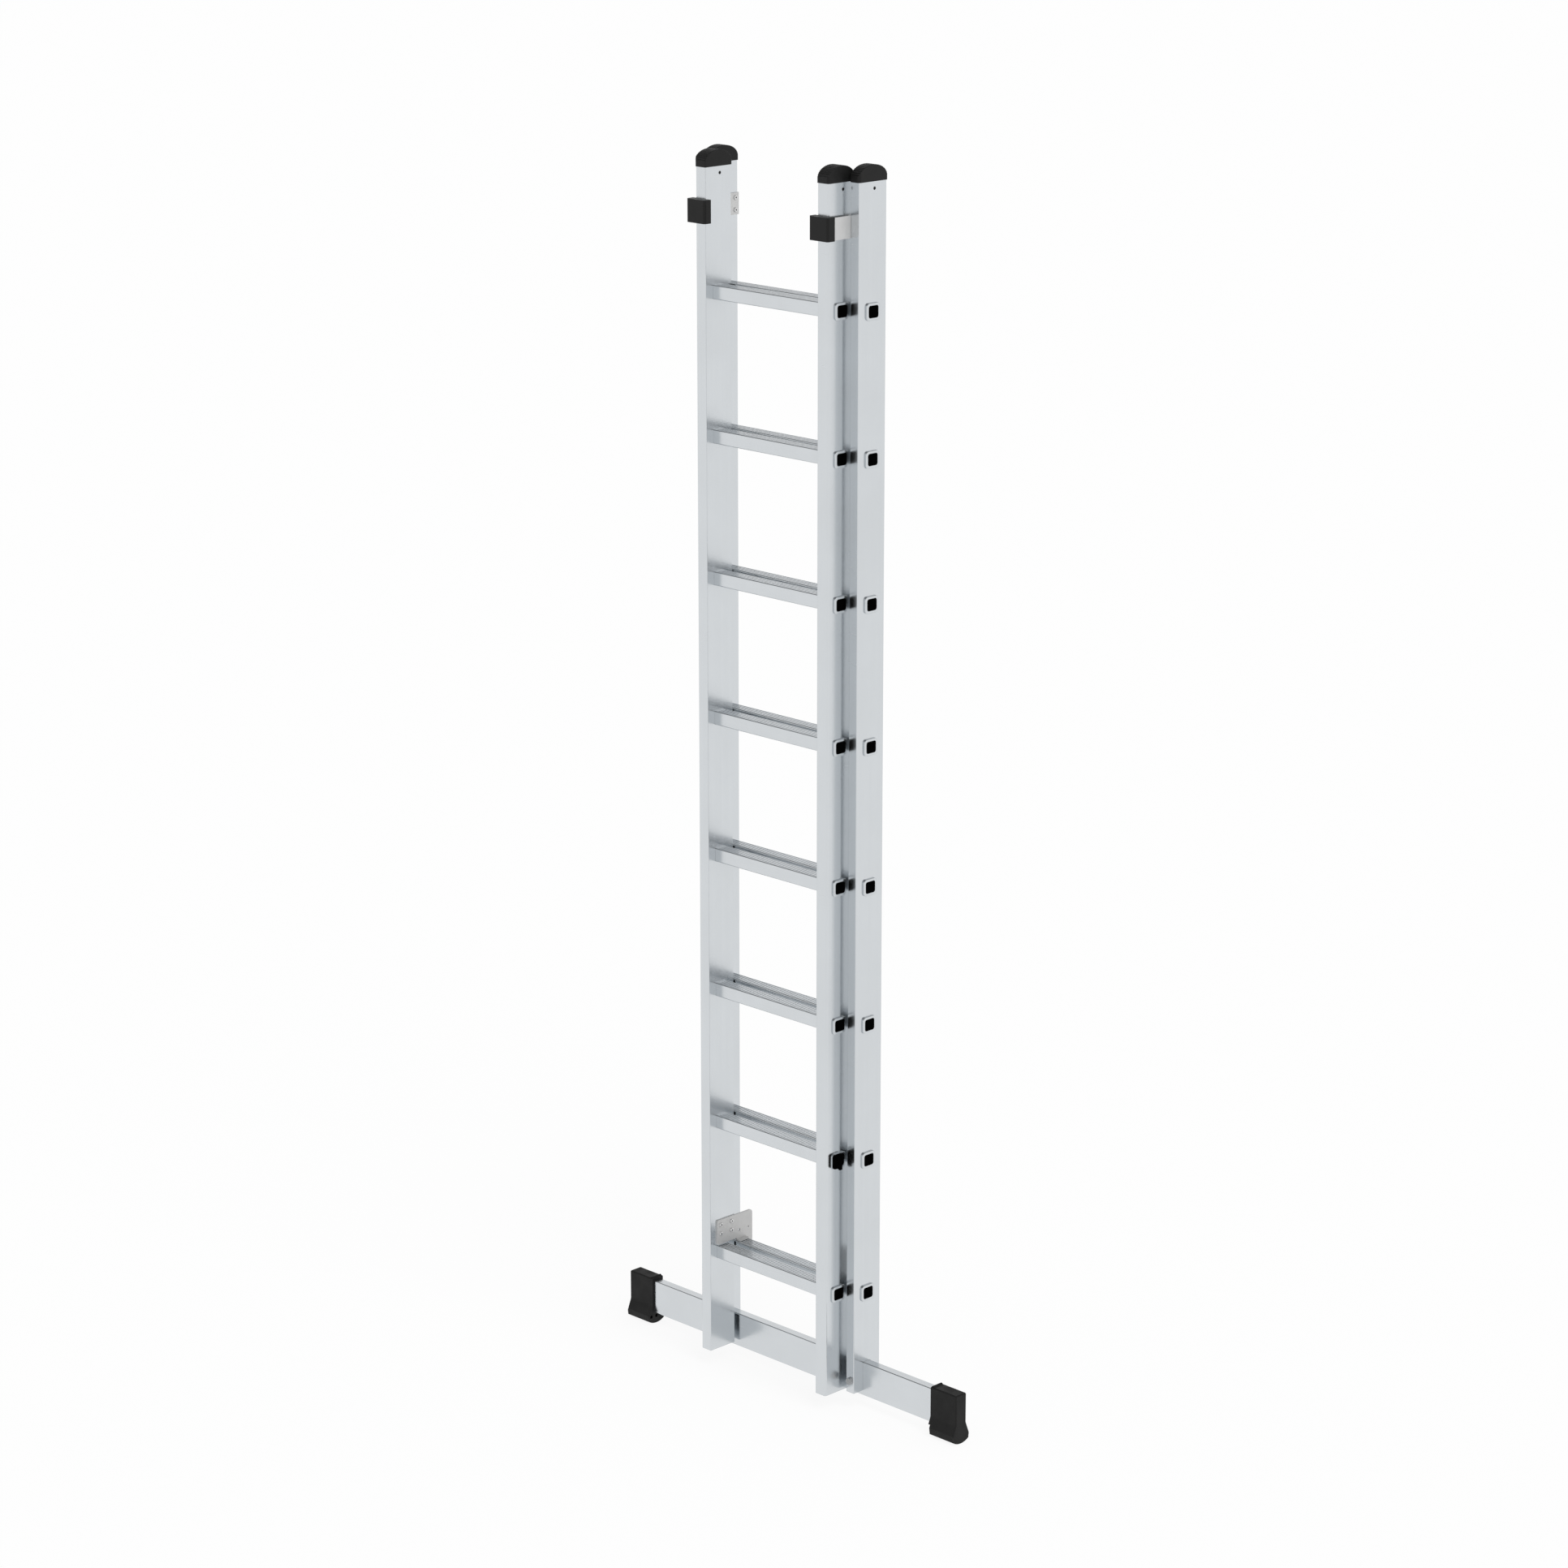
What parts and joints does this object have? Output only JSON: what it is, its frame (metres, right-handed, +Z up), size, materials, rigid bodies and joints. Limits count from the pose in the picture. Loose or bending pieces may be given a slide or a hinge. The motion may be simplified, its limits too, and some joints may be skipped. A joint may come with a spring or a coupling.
{
  "type": "extension ladder",
  "caption": "Aluminium push-up extension ladder: a narrow upper section slides in guide brackets on a wider lower section that stands on a long crossbar with rubber feet.",
  "frame": {"origin": "on the ground, under the middle of the base crossbar, in the middle plane of the lower section's depth", "axes": "+X along the rungs to the right seen from the front, +Y from the front (upper section) to the rear (lower section), +Z up along the stiles"},
  "size_m": [0.93, 0.1441, 2.4777],
  "materials": {
    "stile_aluminium": "extruded mill finish with fine lengthwise lines",
    "rung_aluminium": "extruded mill finish, grooved tread",
    "crossbar_aluminium": "extruded mill finish",
    "plated_steel": "zinc plated, satin",
    "bolt_steel": "zinc plated",
    "rivet_aluminium": "satin",
    "cap_plastic": "fine moulded texture",
    "shoe_plastic": "fine moulded texture",
    "plug_plastic": "fine moulded texture",
    "foot_rubber": "matte moulded rubber"
  },
  "bodies": {
    "lower_section": {"bracket_rivets": "rivet_aluminium", "bracket_shoe_left": "shoe_plastic", "bracket_shoe_right": "shoe_plastic", "crossbar": "crossbar_aluminium", "crossbar_bolts": "bolt_steel", "crossbar_nuts": "bolt_steel", "foot_left": "foot_rubber", "foot_right": "foot_rubber", "glide_pad_left": "shoe_plastic", "glide_pad_right": "shoe_plastic", "guide_bracket_left": "plated_steel", "guide_bracket_right": "plated_steel", "lower_cap_left": "cap_plastic", "lower_cap_right": "cap_plastic", "lower_rung_1": "rung_aluminium", "lower_rung_2": "rung_aluminium", "lower_rung_3": "rung_aluminium", "lower_rung_4": "rung_aluminium", "lower_rung_5": "rung_aluminium", "lower_rung_6": "rung_aluminium", "lower_rung_7": "rung_aluminium", "lower_rung_8": "rung_aluminium", "lower_rung_plugs": "plug_plastic", "lower_stile_left": "stile_aluminium", "lower_stile_right": "stile_aluminium"},
    "upper_section": {"hook_plate_left": "plated_steel", "hook_plate_right": "plated_steel", "hook_rivets": "rivet_aluminium", "stop_plug_left": "plug_plastic", "stop_plug_right": "plug_plastic", "upper_cap_left": "cap_plastic", "upper_cap_right": "cap_plastic", "upper_rung_1": "rung_aluminium", "upper_rung_2": "rung_aluminium", "upper_rung_3": "rung_aluminium", "upper_rung_4": "rung_aluminium", "upper_rung_5": "rung_aluminium", "upper_rung_6": "rung_aluminium", "upper_rung_7": "rung_aluminium", "upper_rung_8": "rung_aluminium", "upper_rung_plugs": "plug_plastic", "upper_stile_left": "stile_aluminium", "upper_stile_right": "stile_aluminium"}
  },
  "joints": [
    {"name": "section_slide", "type": "slide", "parent": "lower_section", "child": "upper_section", "axis": [0, 0, 1], "range_m": [0, 1.68]}
  ]
}
